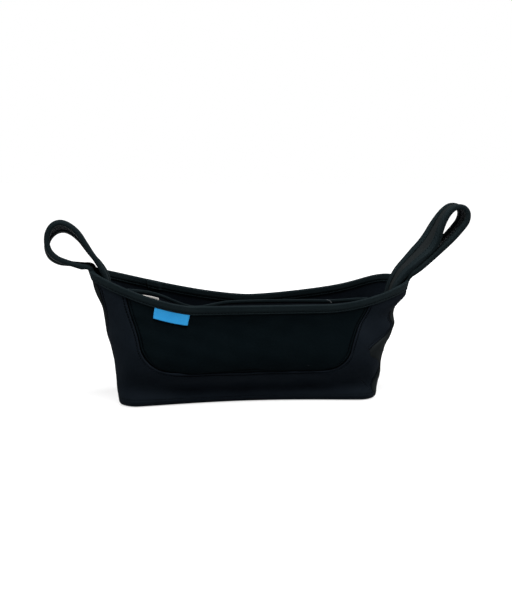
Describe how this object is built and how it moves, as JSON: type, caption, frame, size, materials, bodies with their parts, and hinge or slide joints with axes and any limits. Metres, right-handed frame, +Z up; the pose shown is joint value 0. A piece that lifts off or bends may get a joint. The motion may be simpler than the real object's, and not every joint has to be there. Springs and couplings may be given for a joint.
{
  "type": "stroller organizer",
  "caption": "Soft black hanging bag with bound edges, an inset front pocket and a strap loop at each end that goes round a handlebar.",
  "frame": {"origin": "on the underside of the flat base, below the middle of the rim", "axes": "+X to the right of the picture, along the bag's length, +Y to the back, +Z up"},
  "size_m": [0.5038, 0.0894, 0.2356],
  "materials": {
    "fabric": "matt black woven cloth over foam",
    "pocket": "matt black woven cloth, slightly greener",
    "lining": "short fuzzy loop pile",
    "tape": "ribbed woven edge tape with a soft sheen",
    "hook": "short plastic hooks",
    "tag": "satin woven label, blue",
    "label": "thin satin label, white"
  },
  "bodies": {
    "root": {"base_panel": "fabric", "front_panel": "fabric", "front_pocket_panel": "pocket", "back_panel": "fabric", "left_gusset": "fabric", "right_gusset": "fabric", "edge_binding": "tape", "left_strap_lining": "lining", "right_strap_lining": "lining", "left_hook_patch": "hook", "right_hook_patch": "hook", "divider_panel": "pocket", "divider_binding": "tape", "front_tag": "tag", "care_label": "label"}
  },
  "joints": []
}
